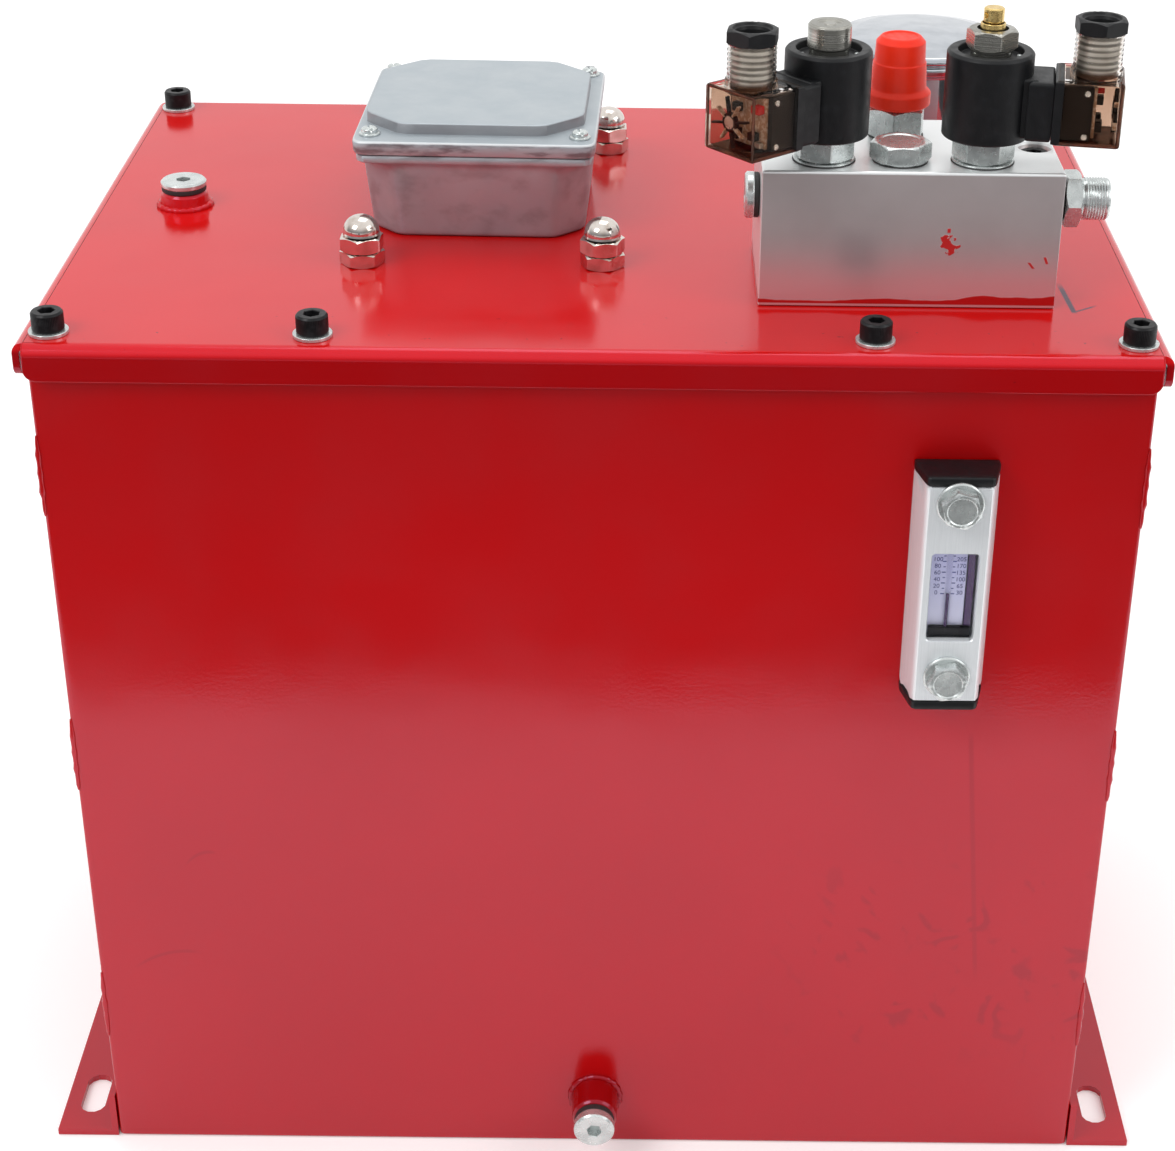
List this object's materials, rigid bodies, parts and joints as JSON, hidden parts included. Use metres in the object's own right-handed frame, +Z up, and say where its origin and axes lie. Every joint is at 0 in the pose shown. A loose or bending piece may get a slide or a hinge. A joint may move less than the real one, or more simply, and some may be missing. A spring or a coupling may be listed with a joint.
{
  "type": "hydraulic power unit",
  "caption": "Red sheet-steel oil tank on angle feet with a screwed-down lid carrying a submerged motor and pump, terminal box, breather and a valve manifold.",
  "frame": {"origin": "centre of the tank's flat underside, level with the undersides of the feet", "axes": "+Z up from the underside to the lid, -Y towards the side with the level gauge and drain plug, +X towards the manifold block's outlet fitting"},
  "size_m": [0.508, 0.3448, 0.5278],
  "materials": {
    "red_paint": "glossy red enamel over sheet steel",
    "zinc": "bright zinc plate",
    "rubber": "nitrile rubber, dull",
    "black_oxide": "black oxide steel, satin",
    "chrome": "chrome plate",
    "cast_aluminium": "die-cast aluminium, satin",
    "black_plastic": "moulded black plastic, satin",
    "nickel": "nickel plate, polished",
    "bright_steel": "ground and plated steel",
    "red_plastic": "red plastic, semi-gloss",
    "smoked_plastic": "clear smoked plastic",
    "brass": "machined brass",
    "anodised": "satin anodised aluminium",
    "gauge_glass": "clear acrylic",
    "cast_iron": "grey iron, oiled",
    "steel_mesh": "woven steel mesh"
  },
  "bodies": {
    "unit": {"tank_shell": "red_paint", "left_foot": "red_paint", "right_foot": "red_paint", "drain_plug": "zinc", "lid": "red_paint", "lid_gasket": "rubber", "lid_screw_1": "black_oxide", "lid_screw_2": "black_oxide", "lid_screw_3": "black_oxide", "lid_screw_4": "black_oxide", "lid_screw_5": "black_oxide", "lid_screw_6": "black_oxide", "lid_screw_7": "black_oxide", "lid_screw_8": "black_oxide", "fill_plug": "zinc", "breather_neck": "chrome", "terminal_box": "cast_aluminium", "terminal_box_lid": "cast_aluminium", "terminal_screw_1": "zinc", "terminal_screw_2": "zinc", "terminal_screw_3": "zinc", "terminal_screw_4": "zinc", "terminal_block": "black_plastic", "motor_stud_1": "nickel", "motor_stud_2": "nickel", "motor_stud_3": "nickel", "motor_stud_4": "nickel", "manifold_block": "bright_steel", "hex_plug": "zinc", "port_adapter": "zinc", "side_plug": "zinc", "outlet_fitting": "zinc", "manifold_bolt": "black_oxide", "valve_body_left": "zinc", "valve_body_right": "zinc", "coil_left": "black_plastic", "coil_right": "black_plastic", "coil_nut_left": "zinc", "coil_nut_right": "zinc", "connector_left": "smoked_plastic", "connector_right": "smoked_plastic", "gland_nut_left": "black_plastic", "gland_nut_right": "black_plastic", "gauge_housing": "anodised", "gauge_window": "gauge_glass", "gauge_cap_top": "black_plastic", "gauge_cap_bottom": "black_plastic", "gauge_bolt_top": "zinc", "gauge_bolt_bottom": "zinc", "motor_can": "cast_iron", "pump_housing": "cast_iron", "suction_strainer": "steel_mesh", "pressure_pipe": "bright_steel"},
    "breather_cap": {"breather_cap": "chrome"},
    "red_cap": {"red_cap": "red_plastic"},
    "lowering_knob": {"lowering_knob": "brass"},
    "motor_rotor": {"motor_rotor": "bright_steel"},
    "pump_gear": {"pump_gear": "bright_steel"},
    "plunger_left": {"plunger_left": "bright_steel"},
    "plunger_right": {"plunger_right": "bright_steel"}
  },
  "joints": [
    {"name": "breather_cap_lift", "type": "slide", "parent": "unit", "child": "breather_cap", "axis": [0, 0, 1], "range_m": [0, 0.06]},
    {"name": "red_cap_pull", "type": "slide", "parent": "unit", "child": "red_cap", "axis": [0, 0, 1], "range_m": [0, 0.03]},
    {"name": "lowering_knob_press", "type": "slide", "parent": "unit", "child": "lowering_knob", "axis": [0, 0, 1], "range_m": [-0.002, 0], "stiffness_N_per_m": 400, "springref_m": 0.002},
    {"name": "motor_spin", "type": "hinge", "parent": "unit", "child": "motor_rotor", "pos_m": [0.047, 0.012, 0.3], "axis": [1, 0, 0], "continuous": true},
    {"name": "pump_gear_spin", "type": "hinge", "parent": "unit", "child": "pump_gear", "pos_m": [0.047, 0.012, 0.2636], "axis": [1, 0, 0], "continuous": true},
    {"name": "plunger_left_stroke", "type": "slide", "parent": "unit", "child": "plunger_left", "axis": [0, 0, 1], "range_m": [0, 0.003], "stiffness_N_per_m": 500, "springref_m": -0.002},
    {"name": "plunger_right_stroke", "type": "slide", "parent": "unit", "child": "plunger_right", "axis": [0, 0, 1], "range_m": [0, 0.003], "stiffness_N_per_m": 500, "springref_m": -0.002}
  ],
  "couplings": [
    {"joint": "pump_gear_spin", "follows": "motor_spin", "ratio": -1}
  ]
}
